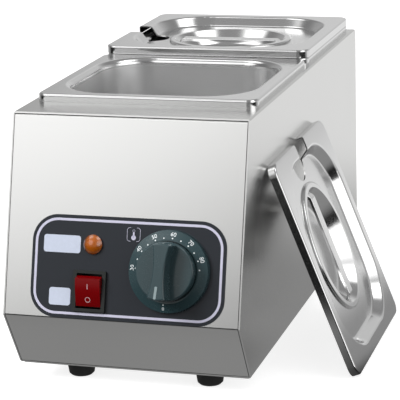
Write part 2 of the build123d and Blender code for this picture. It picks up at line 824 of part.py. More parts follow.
dial_axis = Axis(dial_plane.origin, dial_plane.z_dir)
dial_section = Plane(origin=dial_plane.origin, x_dir=dial_plane.x_dir, z_dir=-dial_plane.y_dir)
recess_radius = knob_radius + knob_gap
with BuildPart() as dial_ring:
    with BuildSketch(dial_section):
        with BuildLine():
            Polyline(
                (bush_radius + screw_clearance, 0),
                (dial_radius, 0),
                (dial_radius - dial_side_draft, dial_edge),
                (recess_radius + dial_land, dial_rise),
                (recess_radius, dial_rise),
                (recess_radius, dial_recess_floor),
                (bush_radius + screw_clearance, dial_recess_floor),
                close=True,
            )
        make_face()
    revolve(axis=dial_axis)
    with BuildSketch(dial_plane):
        with Locations(*thermostat_screw_places):
            Circle(small_head_radius + screw_clearance)
    extrude(amount=dial_recess_floor, mode=Mode.SUBTRACT)

knob_base = turned(dial_plane.offset(knob_under), -knob_turned)
disc_rise = knob_disc_top - fascia_sheet - knob_under
end = knob_rib_end / 2
waist = knob_rib_waist / 2
reach = (knob_radius**2 - end**2) ** 0.5
with BuildPart() as thermostat_knob:
    with BuildSketch(knob_base):
        Circle(knob_radius)
    extrude(amount=disc_rise)
    fillet(thermostat_knob.faces().sort_by(dial_axis)[-1].edges(), knob_edge_radius)
    with BuildPart(mode=Mode.PRIVATE) as rib:
        with BuildSketch(knob_base):
            with BuildLine():
                ThreePointArc((-end, -reach), (0, -knob_radius), (end, -reach))
                ThreePointArc((end, -reach), (waist, 0), (end, reach))
                ThreePointArc((end, reach), (0, knob_radius), (-end, reach))
                ThreePointArc((-end, reach), (-waist, 0), (-end, -reach))
            make_face()
        extrude(amount=knob_rise, taper=knob_rib_draft)
        fillet(rib.faces().sort_by(dial_axis)[-1].edges(), knob_edge_radius)
    add(rib.part)
    with BuildSketch(knob_base):
        Circle(shaft_radius)
    extrude(amount=shaft_top - fascia_sheet - knob_under, mode=Mode.SUBTRACT)

# Thermostat sensor: bulb on the tank's right side, held by a clip, with its capillary tube
tank_side_x = tank_width / 2 + tank_sheet
bulb_x = tank_side_x + bulb_radius + contact_gap
bulb_y = front_y + bulb_start
bulb_start_plane = Plane(origin=(body_x + bulb_x, bulb_y, bulb_height), x_dir=(1, 0, 0), z_dir=(0, 1, 0))
with BuildPart() as sensor_bulb:
    with BuildSketch(bulb_start_plane):
        Circle(bulb_radius)
    extrude(amount=bulb_length)
    chamfer(sensor_bulb.edges().filter_by(GeomType.CIRCLE), bulb_radius / 2)

stub = thermostat_plane.offset(-thermostat_depth)
capillary_start = stub.from_local_coords((capillary_side, capillary_up, 0))
capillary_turn = stub.from_local_coords((capillary_side, capillary_up, -capillary_stub))
with BuildPart() as capillary_tube:
    with BuildLine() as capillary_line:
        FilletPolyline(
            capillary_start,
            capillary_turn,
            (body_x + bulb_x, capillary_turn.Y + capillary_run, bulb_height),
            (body_x + bulb_x, bulb_y, bulb_height),
            radius=capillary_bend,
        )
    with BuildSketch(Plane(origin=capillary_line.line @ 0, z_dir=capillary_line.line % 0)):
        Circle(capillary_radius)
    sweep()

clip_plane = bulb_start_plane.offset(bulb_length / 2 - clip_width / 2)
clip_inner = bulb_radius + contact_gap
with BuildPart() as bulb_clip:
    with BuildSketch(clip_plane):
        with BuildLine():
            Polyline((-clip_inner, -clip_inner - clip_foot), (-clip_inner, -clip_inner), (0, -clip_inner))
            ThreePointArc((0, -clip_inner), (clip_inner, 0), (0, clip_inner))
            Polyline((0, clip_inner), (-clip_inner, clip_inner), (-clip_inner, clip_inner + clip_foot))
            offset(amount=clip_sheet, side=Side.RIGHT)
        make_face()
    extrude(amount=clip_width)

# Terminal block and earth stud on the bottom plate, gland in the back panel
terminal_plane = level(gland_x, terminal_y, underside_height)
terminal_places = [(k * terminal_pitch, 0) for k in (-1, 0, 1)]
wire_middle = terminal_plane.offset(terminal_height / 2).origin
wire_plane = Plane(origin=wire_middle, x_dir=(1, 0, 0), z_dir=(0, -1, 0))
with BuildPart() as terminal_block:
    with BuildSketch(terminal_plane):
        RectangleRounded(terminal_length, terminal_width, terminal_corner)
    extrude(amount=terminal_height)
    with BuildSketch(terminal_plane.offset(terminal_height)):
        with Locations(*terminal_places):
            Circle(terminal_screw_radius)
    extrude(amount=-terminal_height / 2, mode=Mode.SUBTRACT)
    with BuildSketch(wire_plane):
        with Locations(*terminal_places):
            Rectangle(terminal_hole, terminal_hole)
    extrude(amount=terminal_width / 2, both=True, mode=Mode.SUBTRACT)

with BuildPart() as earth_stud:
    with BuildSketch(Plane(origin=(*earth_place, underside_height))):
        Circle(stud_radius)
    extrude(amount=earth_stud_length)
    with BuildSketch(Plane(origin=(*earth_place, underside_height))):
        RegularPolygon(nut_across_flats / 2, 6, major_radius=False)
    extrude(amount=nut_height)

with BuildPart() as cable_gland:
    with BuildSketch(gland_plane):
        RegularPolygon(gland_flat / 2, 6, major_radius=False)
    extrude(amount=gland_collar)
    with BuildSketch(gland_plane.offset(gland_collar)):
        Circle(gland_dome_radius)
    extrude(amount=gland_dome_length)
    chamfer(cable_gland.faces().sort_by(Axis.Y)[-1].edges(), gland_dome_chamfer)
    with BuildSketch(gland_plane):
        Circle(gland_thread_radius)
    extrude(amount=-gland_thread_length)
    with BuildSketch(gland_plane.offset(gland_reach)):
        Circle(gland_bore_radius)
    extrude(amount=-(gland_reach + gland_thread_length), mode=Mode.SUBTRACT)

with BuildPart() as gland_locknut:
    with BuildSketch(gland_plane.offset(-sheet)):
        RegularPolygon(gland_flat / 2, 6, major_radius=False)
        Circle(gland_thread_radius, mode=Mode.SUBTRACT)
    extrude(amount=-locknut_height)

pieces = {
    "casing": casing,
    "front_panel": front_panel,
    "back_panel": back_panel,
    "bottom_plate": bottom_plate,
    "bottom_screws": bottom_screws,
    **feet,
    "foot_screws": foot_screws,
    "foot_nuts": foot_nuts,
    "water_tank": water_tank,
    "heater_plate": heater_plate,
    "heating_element": heating_element,
    "element_clamps": element_clamps,
    "clamp_nuts": clamp_nuts,
    "overheat_cutout": overheat_cutout,
    "front_pan": front_pan,
    "rear_pan": rear_pan,
    "front_lid": front_lid,
    "front_lid_handle": front_lid_handle,
    "rear_lid": rear_lid,
    "rear_lid_handle": rear_lid_handle,
    "control_fascia": control_fascia,
    "indicator_lens": indicator_lens,
    "indicator_body": indicator_body,
    "rocker_body": rocker_body,
    "rocker_paddle": rocker_paddle,
    "dial_ring": dial_ring,
    "thermostat_knob": thermostat_knob,
    "thermostat_shaft": thermostat_shaft,
    "thermostat_body": thermostat_body,
    "thermostat_screws": thermostat_screws,
    "capillary_tube": capillary_tube,
    "sensor_bulb": sensor_bulb,
    "bulb_clip": bulb_clip,
    "terminal_block": terminal_block,
    "earth_stud": earth_stud,
    "cable_gland": cable_gland,
    "gland_locknut": gland_locknut,
}
os.makedirs("parts", exist_ok=True)
for name, piece in pieces.items():
    piece.part.label = name
    export_step(piece.part, f"parts/{name}.step")
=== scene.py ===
import json
import math

import bmesh
import bpy
from bpy.props import FloatProperty, FloatVectorProperty, IntProperty, PointerProperty
from mathutils import Matrix, Vector


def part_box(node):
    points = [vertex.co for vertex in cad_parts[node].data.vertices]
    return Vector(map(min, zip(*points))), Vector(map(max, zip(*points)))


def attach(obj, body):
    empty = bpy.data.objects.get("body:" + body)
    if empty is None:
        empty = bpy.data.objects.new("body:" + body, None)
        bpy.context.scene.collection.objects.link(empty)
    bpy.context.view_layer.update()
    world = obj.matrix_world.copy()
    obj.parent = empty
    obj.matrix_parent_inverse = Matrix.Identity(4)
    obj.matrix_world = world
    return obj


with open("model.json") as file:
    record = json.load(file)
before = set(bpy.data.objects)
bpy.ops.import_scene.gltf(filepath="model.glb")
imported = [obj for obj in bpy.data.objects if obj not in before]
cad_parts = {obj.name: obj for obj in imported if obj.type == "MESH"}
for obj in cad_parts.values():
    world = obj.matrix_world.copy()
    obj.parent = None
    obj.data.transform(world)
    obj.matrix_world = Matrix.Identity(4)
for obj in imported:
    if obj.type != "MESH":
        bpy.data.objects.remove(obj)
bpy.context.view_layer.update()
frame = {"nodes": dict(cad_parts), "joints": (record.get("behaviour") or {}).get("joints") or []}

bl_info = {
    "name": "Chocolate melter",
    "version": (1, 0, 0),
    "blender": (4, 5, 0),
    "location": "3D View > Sidebar > Melter",
    "description": "Finishes, printed marks and small pieces of a two-pan chocolate melter",
    "category": "Object",
}


def joint_named(name):
    return next(joint for joint in frame["joints"] if joint["name"] == name)


# The slanted face's own frame: origin at the dial's middle on the fascia, x to the right, y up the face and z
# out of it
DIAL_JOINT = joint_named("knob_turn")
FACE_OUT = -Vector(DIAL_JOINT["axis"]).normalized()
FACE_RIGHT = Vector((1, 0, 0))
FACE_UP = FACE_OUT.cross(FACE_RIGHT)
FACE_TILT = math.atan2(-FACE_UP.y, FACE_UP.z)
FACE_TURN = Matrix((FACE_RIGHT, FACE_UP, FACE_OUT)).transposed().to_4x4()
FACE = Matrix.Translation(DIAL_JOINT["pos_m"]) @ FACE_TURN
ROCKER = Matrix.Translation(joint_named("rocker_tilt")["pos_m"]) @ FACE_TURN

# Places of printed marks in that frame and their small sizes, in metres. The film has a thickness, so the
# diagonal of its box is longer than the fascia is high, by FASCIA_BOX_EXCESS.
LAMP_LABEL_AT = (-0.08475, 0.0161)
ROCKER_LABEL_AT = (-0.08485, -0.02325)
LABEL_CORNER = 0.0021
FASCIA_CORNER = 0.02
FASCIA_BOX_EXCESS = 0.0008
THERMOMETER_AT = (-0.0291, 0.02565)
BULB_RADIUS, BULB_UP = 0.0018, -0.0023
STEM_WIDTH, STEM_LENGTH, STEM_CORNER, STEM_UP = 0.0012, 0.0042, 0.0005, -0.0003
CAP_SIDE, CAP_CORNER, CAP_LINE, CAP_UP = 0.0019, 0.00093, 0.00018, 0.0027
BRACKET_LENGTH, BRACKET_HEIGHT, BRACKET_CORNER, BRACKET_LINE = 0.0104, 0.0103, 0.0022, 0.00028
BRACKET_GAP = 0.0023
ON_STROKE, ON_CORNER, ON_UP = 0.00055, 0.0003, 0.0049
OFF_CORNER, OFF_LINE, OFF_UP = 0.00209, 0.00042, -0.0053
LATTICE_PITCH = 0.0016
# The dial's numbers go up by this interval, and its 0 is smaller than they are
NUMBER_INTERVAL = 10
ZERO_SCALE = 0.8
POINTER_THICKNESS, POINTER_SUNK = 0.0006, 0.0004

# A pan is polished down to this depth below its rim's top, and satin from the end of the blend on
FLANGE_DEPTH, SATIN_BLEND, SATIN_ROUGHNESS = 0.003, 0.004, 0.3

# Steps around a circle or a corner
CORNER_STEPS, BAND_STEPS, BRACKET_STEPS = 10, 14, 8
BULB_STEPS, DOT_STEPS = 24, 14

# Directions in which rolled sheet has its grain
ALONG_X, ALONG_Y = 0, 1

# Colours of the pieces that have no property of their own
BLACK = (0.012, 0.014, 0.013)
ZINC = (0.62, 0.62, 0.63)
SWITCH_INK = (0.62, 0.40, 0.42)
DIAL_INK = (0.80, 0.85, 0.86)
POINTER_INK = (0.28, 0.35, 0.36)
TANK_STEEL = (0.70, 0.70, 0.69)
CAST_ALUMINIUM = (0.70, 0.70, 0.71)
OXIDISED_STEEL = (0.26, 0.24, 0.22)
BAKELITE = (0.03, 0.025, 0.022)
PLATED_CASE = (0.60, 0.60, 0.57)
COPPER = (0.72, 0.38, 0.24)
NYLON = (0.72, 0.70, 0.64)
BRASS = (0.78, 0.58, 0.25)

# The photograph's viewpoint: a long lens, to the right of the front and a little above it
CAMERA_AT = (0.40227, -1.43107, 0.51352)
CAMERA_YAW, CAMERA_PITCH, CAMERA_ROLL = 0.29472, 0.26847, -0.03223
CAMERA_SENSOR_MM, CAMERA_LENS_MM, CAMERA_FAR = 36.0, 166.86, 50.0

# Bright cards that the steel mirrors: degrees to the right of the front, degrees up, the radii within which
# the card is full and at which it ends, in degrees, and its strength. The first card fills the slanted front,
# the second one the leaning lid's step, and the two high ones light the pans from both sides.
CARDS = (
    (-30, 31, 14, 25.5, 1.15),
    (60, 18, 8, 36, 1.5),
    (85, 62, 6, 20, 2.2),
    (-85, 62, 6, 20, 1.8),
)

# Soft lamps: name, place, aim, side and watts. They light what isn't steel, and no steel mirrors them.
SOFTBOXES = (
    ("key_softbox", (-1.2, -1.2, 1.3), (0, 0, 0.1), 0.8, 34.0),
    ("top_softbox", (0.0, 0.3, 1.9), (0, 0.1, 0.2), 1.6, 5.0),
)
FLOOR_REACH = 6.0


def on_face(x, y):
    """The placing of a piece that is drawn flat around its own origin, on the slanted face."""
    return FACE @ Matrix.Translation((x, y, 0))


def face_place(node):
    """The middle of a CAD node's box, in the slanted face's frame."""
    low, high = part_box(node)
    return FACE.inverted() @ ((low + high) / 2)


class Socket:
    """A shader socket that takes part in Python expressions and adds the Math nodes it needs."""

    def __init__(self, shader, link):
        self.shader = shader
        self.link = link

    def math(self, operation, *others, clamp=False):
        settings = dict(operation=operation, use_clamp=clamp)
        return self.shader.node("ShaderNodeMath", settings, self, *others)

    def __add__(self, other):
        return self.math("ADD", other)

    def __sub__(self, other):
        return self.math("SUBTRACT", other)

    def __rsub__(self, other):
        return self.shader.node("ShaderNodeMath", dict(operation="SUBTRACT"), other, self)

    def __mul__(self, other):
        return self.math("MULTIPLY", other)

    def __neg__(self):
        return self.math("MULTIPLY", -1.0)

    def clamp(self):
        return self.math("ADD", 0.0, clamp=True)

    def smooth(self, low, high):
        """0 below low, 1 above high and a smooth step between them."""
        settings = dict(interpolation_type="SMOOTHSTEP")
        return self.shader.node("ShaderNodeMapRange", settings, self, low, high, 0.0, 1.0)


class Shader:
    """Builds one node tree, of a material or of the world."""

    def __init__(self, owner):
        owner.use_nodes = True
        self.tree = owner.node_tree
        self.tree.nodes.clear()

    def raw(self, kind, settings=None, *values, **named):
        """Adds a node: its settings, then what its sockets hold or are linked to, by place or by name."""
        made = self.tree.nodes.new(kind)
        for name, value in (settings or {}).items():
            setattr(made, name, value)
        sockets = [(made.inputs[place], value) for place, value in enumerate(values)]
        sockets += [(made.inputs[name.replace("_", " ")], value) for name, value in named.items()]
        for socket, value in sockets:
            if isinstance(value, Socket):
                self.tree.links.new(value.link, socket)
            elif value is not None:
                socket.default_value = value
        return made

    def node(self, kind, settings=None, *values, out=0, **named):
        return Socket(self, self.raw(kind, settings, *values, **named).outputs[out])

    def mix(self, factor, first, second):
        """A colour between two colours."""
        made = self.tree.nodes.new("ShaderNodeMix")
        made.data_type = "RGBA"
        for name, value in (("Factor_Float", factor), ("A_Color", first), ("B_Color", second)):
            socket = next(one for one in made.inputs if one.identifier == name)
            if isinstance(value, Socket):
                self.tree.links.new(value.link, socket)
            else:
                socket.default_value = value
        found = next(one for one in made.outputs if one.identifier == "Result_Color")
        return Socket(self, found)

    def place(self, scale=(1, 1, 1), turn=(0, 0, 0)):
        """The object's coordinates, scaled and turned."""
        where = self.node("ShaderNodeTexCoord", out="Object")
        return self.node("ShaderNodeMapping", None, where, Scale=scale, Rotation=turn)

    def axes(self, vector):
        return [self.node("ShaderNodeSeparateXYZ", None, vector, out=axis) for axis in range(3)]

    def noise(self, vector, scale, detail):
        return self.node("ShaderNodeTexNoise", None, Vector=vector, Scale=scale, Detail=detail)

    def camera_ray(self):
        """1 on what the camera sees itself, 0 in reflections and in what lights a surface."""
        return Socket(self, self.raw("ShaderNodeLightPath").outputs["Is Camera Ray"])

    def surface(self, **named):
        made = self.raw("ShaderNodeBsdfPrincipled", None, **named)
        self.raw("ShaderNodeOutputMaterial", None, Socket(self, made.outputs[0]))
        return made


def grey(level):
    return (level, level, level, 1.0)


def tinted(colour, factor):
    return (*(min(1.0, channel * factor) for channel in tuple(colour)[:3]), 1.0)


def steel(name, colour, roughness, grain_axis, grain=0.12, wear=0.15, satin=None):
    """Stainless sheet: fine rolling grain along one axis, faint cloudiness and a trace of uneven polish.

    satin is a height and the roughness that the sheet has below it.
    """
    material = bpy.data.materials.new(name)
    shader = Shader(material)
    across_grain, along_grain = 1900.0, 5.0
    stretch = tuple(along_grain if axis == grain_axis else across_grain for axis in range(3))
    lines = shader.noise(shader.place(scale=stretch), scale=1.0, detail=3.0)
    cloud = shader.noise(shader.place(), scale=9.0, detail=2.0)
    tone = (lines - 0.5) * grain + (cloud - 0.5) * wear + 0.5
    base = shader.mix(tone.clamp(), tinted(colour, 0.82), tinted(colour, 1.18))
    rough = (lines - 0.5) * (roughness * 0.15) + (cloud - 0.5) * (roughness * 0.25) + roughness
    if satin:
        height, dull = satin
        z = shader.axes(shader.place())[2]
        rough = rough + (1 - z.smooth(height - SATIN_BLEND, height)) * (dull - roughness)
    bump = shader.node("ShaderNodeBump", None, Strength=0.01, Distance=0.0001, Height=lines)
    shader.surface(Base_Color=base, Metallic=1.0, Roughness=rough, Normal=bump)
    return material


def plastic(name, colour, roughness, grain=0.0, speckle=0.12, coat=0.0, gloss=0.5):
    """Moulded plastic or rubber: a slightly uneven colour and, where asked for, a spark-eroded grain."""
    material = bpy.data.materials.new(name)
    shader = Shader(material)
    fine = shader.noise(shader.place(), scale=1600.0, detail=2.0)
    cloud = shader.noise(shader.place(), scale=60.0, detail=2.0)
    tone = ((fine - 0.5) * speckle + (cloud - 0.5) * speckle + 0.5).clamp()
    base = shader.mix(tone, tinted(colour, 0.7), tinted(colour, 1.3))
    rough = ((fine - 0.5) * 0.1 + (cloud - 0.5) * 0.08 + roughness).clamp()
    bump = shader.node("ShaderNodeBump", None, Strength=grain, Distance=0.0002, Height=fine)
    made = shader.surface(
        Base_Color=base, Roughness=rough, Normal=bump, Coat_Weight=coat, Coat_Roughness=0.08
    )
    made.inputs["Specular IOR Level"].default_value = gloss
    return material


def metal(name, colour, roughness, pitting=0.1):
    """Plated, cast or drawn metal of the small parts, with fine pitting."""
    material = bpy.data.materials.new(name)
    shader = Shader(material)
    pits = shader.noise(shader.place(), scale=900.0, detail=3.0)
    cloud = shader.noise(shader.place(), scale=40.0, detail=2.0)
    base = shader.mix(((pits + cloud) * 0.5).clamp(), tinted(colour, 0.8), tinted(colour, 1.15))
    rough = ((cloud - 0.5) * 0.2 + roughness).clamp()
    bump = shader.node("ShaderNodeBump", None, Strength=pitting, Distance=0.0001, Height=pits)
    shader.surface(Base_Color=base, Metallic=1.0, Roughness=rough, Normal=bump)
    return material


def ink(name, colour, roughness):
    """A printed mark: nearly even, with the faint mottle of screen printing."""
    material = bpy.data.materials.new(name)
    shader = Shader(material)
    mottle = shader.noise(shader.place(), scale=420.0, detail=3.0)
    base = shader.mix(mottle, tinted(colour, 0.94), tinted(colour, 1.06))
    shader.surface(Base_Color=base, Roughness=roughness)
    return material


def lens_plastic(name, colour, pitch):
    """Clear coloured lens: glossy, with a lattice of small diamonds behind its face and painted shade on its
    edge.
    """
    material = bpy.data.materials.new(name)
    shader = Shader(material)
    across, _, up = shader.axes(shader.place(turn=(-FACE_TILT, 0, 0)))
    wave = 2 * math.pi / pitch
    lattice = ((across + up) * wave).math("SINE") * ((across - up) * wave).math("SINE")
    diamonds = (lattice * 0.5 + 0.5).clamp()
    cells = shader.mix(diamonds, tinted(colour, 0.25), tinted(colour, 1.9))
    # Painted shade: the colour darkens towards the lens's edge, where its face turns away from the view
    edge = shader.node("ShaderNodeLayerWeight", None, Blend=0.35, out="Facing")
    base = shader.mix(edge.smooth(0.1, 0.5), cells, tinted(colour, 0.2))
    bump = shader.node("ShaderNodeBump", None, Strength=0.1, Distance=0.0002, Height=diamonds)
    shader.surface(
        Base_Color=base, Roughness=0.2, Normal=bump, Coat_Weight=1.0, Coat_Roughness=0.1, Coat_IOR=1.7
    )
    return material


def dress(nodes, material):
    """Gives CAD nodes their finish."""
    for node in nodes:
        body = frame["nodes"][node]
        body.data.materials.clear()
        body.data.materials.append(material)


def piece(mesh, placing, body, material):
    """A finished new piece, named as its mesh, which takes its place, and riding on a CAD body."""
    mesh.transform(placing)
    mesh.materials.clear()
    mesh.materials.append(material)
    made = bpy.data.objects.new(mesh.name, mesh)
    bpy.context.scene.collection.objects.link(made)
    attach(made, body)


def mesh_of(shape, name):
    bmesh.ops.recalc_face_normals(shape, faces=shape.faces)
    mesh = bpy.data.meshes.new(name)
    shape.to_mesh(mesh)
    shape.free()
    return mesh


def rounded_outline(shape, length, height, corner, steps):
    """A flat rounded rectangle around the origin, one face."""
    signs = ((1, 1), (-1, 1), (-1, -1), (1, -1))
    corners = [shape.verts.new((x * length / 2, y * height / 2, 0)) for x, y in signs]
    shape.faces.new(corners)
    bmesh.ops.bevel(
        shape, geom=corners, offset=corner, offset_type="OFFSET", segments=steps, profile=0.5,
        affect="VERTICES", material=-1,
    )


def raised(shape, faces, height):
    """Extrudes flat faces out along z."""
    moved = bmesh.ops.extrude_face_region(shape, geom=faces)
    verts = [one for one in moved["geom"] if isinstance(one, bmesh.types.BMVert)]
    bmesh.ops.translate(shape, vec=(0, 0, height), verts=verts)


def hollow_out(shape, width):
    """Leaves only a strip of the given width along the edge of a flat face."""
    strip = bmesh.ops.inset_region(
        shape, faces=shape.faces[:], thickness=width, use_boundary=True, use_even_offset=True
    )
    middle = [face for face in shape.faces if face not in strip["faces"]]
    bmesh.ops.delete(shape, geom=middle, context="FACES")


def plate(name, length, height, corner, thickness):
    """A thin rounded plate, its back on z 0."""
    shape = bmesh.new()
    rounded_outline(shape, length, height, corner, CORNER_STEPS)
    raised(shape, shape.faces[:], thickness)
    return mesh_of(shape, name)


def band(name, length, height, corner, width, thickness):
    """A thin rounded frame line, its back on z 0."""
    shape = bmesh.new()
    rounded_outline(shape, length, height, corner, BAND_STEPS)
    hollow_out(shape, width)
    raised(shape, shape.faces[:], thickness)
    return mesh_of(shape, name)


def lettering(name, text, height, thickness):
    """Printed characters as a mesh around the origin."""
    curve = bpy.data.curves.new(name, "FONT")
    curve.body = text
    curve.size = height
    curve.align_x = "CENTER"
    curve.align_y = "CENTER"
    curve.extrude = thickness / 2
    curve.resolution_u = 4
    holder = bpy.data.objects.new(name, curve)
    bpy.context.scene.collection.objects.link(holder)
    bpy.context.view_layer.update()
    mesh = bpy.data.meshes.new_from_object(holder)
    bpy.data.objects.remove(holder)
    bpy.data.curves.remove(curve)
    return mesh


def disc(name, radius, thickness, steps):
    """A thin round plate, its back on z 0."""
    shape = bmesh.new()
    bmesh.ops.create_circle(shape, cap_ends=True, segments=steps, radius=radius)
    raised(shape, shape.faces[:], thickness)
    return mesh_of(shape, name)


def length_property(name, description, default):
    return FloatProperty(name=name, description=description, default=default, unit="LENGTH")


def angle_property(name, description, degrees):
    return FloatProperty(name=name, description=description, default=math.radians(degrees), subtype="ANGLE")


def colour_property(name, description, default):
    return FloatVectorProperty(name=name, description=description, default=default, subtype="COLOR")


class MelterSizes(bpy.types.PropertyGroup):
    line_inset: length_property("Line inset", "From the fascia's edge to the pale line", 0.0024)
    line_width: length_property("Line width", "Width of the pale line around the fascia", 0.0019)
    print_height: length_property("Print height", "How far printed marks stand out", 0.00008)
    lamp_label_length: length_property("Lamp label length", "Blank field beside the lamp", 0.0291)
    rocker_label_length: length_property("Rocker label length", "Blank field beside the rocker", 0.0169)
    label_height: length_property("Label height", "Height of both blank fields", 0.0131)
    number_height: length_property("Number height", "Height of the dial's numbers", 0.0044)
    number_circle: length_property("Number circle", "Radius of the circle of numbers", 0.0274)
    dot_circle: length_property("Dot circle", "Radius of the circle of dots", 0.0246)
    dot_radius: length_property("Dot radius", "Radius of a scale dot", 0.00055)
    first_number: IntProperty(name="First number", description="Lowest number on the dial", default=30)
    last_number: IntProperty(name="Last number", description="Highest number on the dial", default=80)
    zero_angle: angle_property("Zero angle", "Clockwise from the foot of the dial to its 0", 4.5)
    first_angle: angle_property("First angle", "Clockwise from the foot of the dial to its lowest number", 93)
    number_step: angle_property("Number step", "Angle between two numbers", 31.2)
    ring_outer: length_property("Ring outer radius", "Foot of the dial ring's slope", 0.0304)
    ring_inner: length_property("Ring inner radius", "Head of the dial ring's slope", 0.0236)
    ring_low: length_property("Ring low", "Height of the slope's foot above the fascia", 0.004)
    ring_high: length_property("Ring high", "Height of the slope's head above the fascia", 0.0062)
    knob_top: length_property("Knob top", "Height of the knob's grip above the fascia", 0.0282)
    knob_turn: angle_property("Knob turn", "How far the pointer stands from the foot", 5.5)
    pointer_start: length_property("Pointer start", "Inner end of the pointer bar", 0.0106)
    pointer_end: length_property("Pointer end", "Outer end of the pointer bar", 0.0198)
    pointer_width: length_property("Pointer width", "Width of the pointer bar", 0.0019)
    switch_mark: length_property("Switch mark", "Height of the two marks on the rocker", 0.0042)
    paddle_face: length_property("Paddle face", "Length of the rocker's crowned face", 0.0214)
    paddle_radius: length_property("Paddle radius", "Radius of the rocker's crowned face", 0.06)
    paddle_rise: length_property("Paddle rise", "From the pivot to the ends of the crowned face", 0.0042)
    paddle_rest: angle_property("Paddle rest", "How far the rocker is tilted in the O position", 14)


class MelterColours(bpy.types.PropertyGroup):
    casing: colour_property("Casing", "Satin sheet steel", (0.80, 0.80, 0.79))
    pans: colour_property("Pans", "Polished drawn steel", (0.82, 0.82, 0.82))
    fascia: colour_property("Fascia", "Printed film", (0.024, 0.027, 0.033))
    line: colour_property("Line", "Pale line and marks", (0.58, 0.57, 0.70))
    label: colour_property("Label", "Blank label fields", (0.56, 0.61, 0.73))
    knob: colour_property("Knob", "Dial ring and knob", (0.028, 0.055, 0.062))
    rocker: colour_property("Rocker", "Rocker paddle", (0.17, 0.001, 0.002))
    lens: colour_property("Lens", "Indicator lens", (0.36, 0.085, 0.004))
    rubber: colour_property("Rubber", "Feet", (0.012, 0.012, 0.012))


def sizes():
    return bpy.context.scene.melter_sizes


def colours():
    return bpy.context.scene.melter_colours


class MELTER_OT_casing(bpy.types.Operator):
    """Finish the casing, its panels, plate, screws and feet"""

    bl_idname = "melter.casing"
    bl_label = "Casing and feet"

    def execute(self, context):
        sheet = steel("casing_sheet", colours().casing, roughness=0.24, grain_axis=ALONG_Y)
        upright = steel("front_sheet", colours().casing, roughness=0.19, grain_axis=ALONG_X)
        dress(("casing", "back_panel", "bottom_plate"), sheet)
        dress(("front_panel",), upright)
        plated = metal("zinc_fixings", ZINC, roughness=0.32)
        dress(("bottom_screws", "foot_screws", "foot_nuts"), plated)
        feet = ("front_left_foot", "front_right_foot", "rear_left_foot", "rear_right_foot")
        rubber = plastic("foot_rubber", colours().rubber, roughness=0.62, grain=0.3)
        dress(feet, rubber)
        return {"FINISHED"}


class MELTER_OT_pans(bpy.types.Operator):
    """Finish the two pans and the two lids with their handles"""

    bl_idname = "melter.pans"
    bl_label = "Pans and lids"

    def execute(self, context):
        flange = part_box("front_pan")[1].z - FLANGE_DEPTH
        finish = dict(roughness=0.15, grain_axis=ALONG_X, grain=0.05)
        drawn = steel("pan_sheet", colours().pans, satin=(flange, SATIN_ROUGHNESS), **finish)
        polished = steel("lid_sheet", colours().pans, **finish)
        dress(("front_pan", "rear_pan"), drawn)
        dress(("front_lid", "rear_lid", "front_lid_handle", "rear_lid_handle"), polished)
        return {"FINISHED"}


class MELTER_OT_fascia(bpy.types.Operator):
    """Finish the control fascia and print its line, fields and thermometer mark"""

    bl_idname = "melter.fascia"
    bl_label = "Fascia"

    def execute(self, context):
        size = sizes()
        film = plastic("fascia_film", colours().fascia, roughness=0.32, gloss=0.25)
        dress(("control_fascia",), film)
        pale = ink("fascia_line_ink", colours().line, roughness=0.3)
        low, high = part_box("control_fascia")
        across = high.x - low.x
        up = (high - low).yz.length - FASCIA_BOX_EXCESS
        centre = face_place("control_fascia")
        outline = band(
            "fascia_line", across - 2 * size.line_inset, up - 2 * size.line_inset,
            FASCIA_CORNER - size.line_inset, size.line_width, size.print_height,
        )
        piece(outline, on_face(centre.x, centre.y), "housing", pale)
        field = ink("label_ink", colours().label, roughness=0.4)
        fields = (
            ("lamp_label", size.lamp_label_length, LAMP_LABEL_AT),
            ("rocker_label", size.rocker_label_length, ROCKER_LABEL_AT),
        )
        for name, field_length, (x, y) in fields:
            shape = plate(name, field_length, size.label_height, LABEL_CORNER, size.print_height)
            piece(shape, on_face(x, y), "housing", field)
        self.thermometer(pale)
        return {"FINISHED"}

    def thermometer(self, pale):
        """A bulb, its stem and a small open cap, between a left and a right corner bracket."""
        thick = sizes().print_height
        where = on_face(*THERMOMETER_AT)
        marks = (
            (disc("thermometer_bulb", BULB_RADIUS, thick, BULB_STEPS), BULB_UP),
            (plate("thermometer_stem", STEM_WIDTH, STEM_LENGTH, STEM_CORNER, thick), STEM_UP),
            (band("thermometer_cap", CAP_SIDE, CAP_SIDE, CAP_CORNER, CAP_LINE, thick), CAP_UP),
        )
        for shape, up in marks:
            piece(shape, where @ Matrix.Translation((0, up, 0)), "housing", pale)
        for name, side in (("left", -1), ("right", 1)):
            shape = bmesh.new()
            rounded_outline(shape, BRACKET_LENGTH, BRACKET_HEIGHT, BRACKET_CORNER, BRACKET_STEPS)
            hollow_out(shape, BRACKET_LINE)
            bmesh.ops.bisect_plane(
                shape, geom=shape.verts[:] + shape.edges[:] + shape.faces[:], dist=1e-7,
                plane_co=(side * BRACKET_GAP, 0, 0), plane_no=(side, 0, 0), clear_inner=True,
            )
            raised(shape, shape.faces[:], thick)
            piece(mesh_of(shape, "thermometer_bracket_" + name), where, "housing", pale)


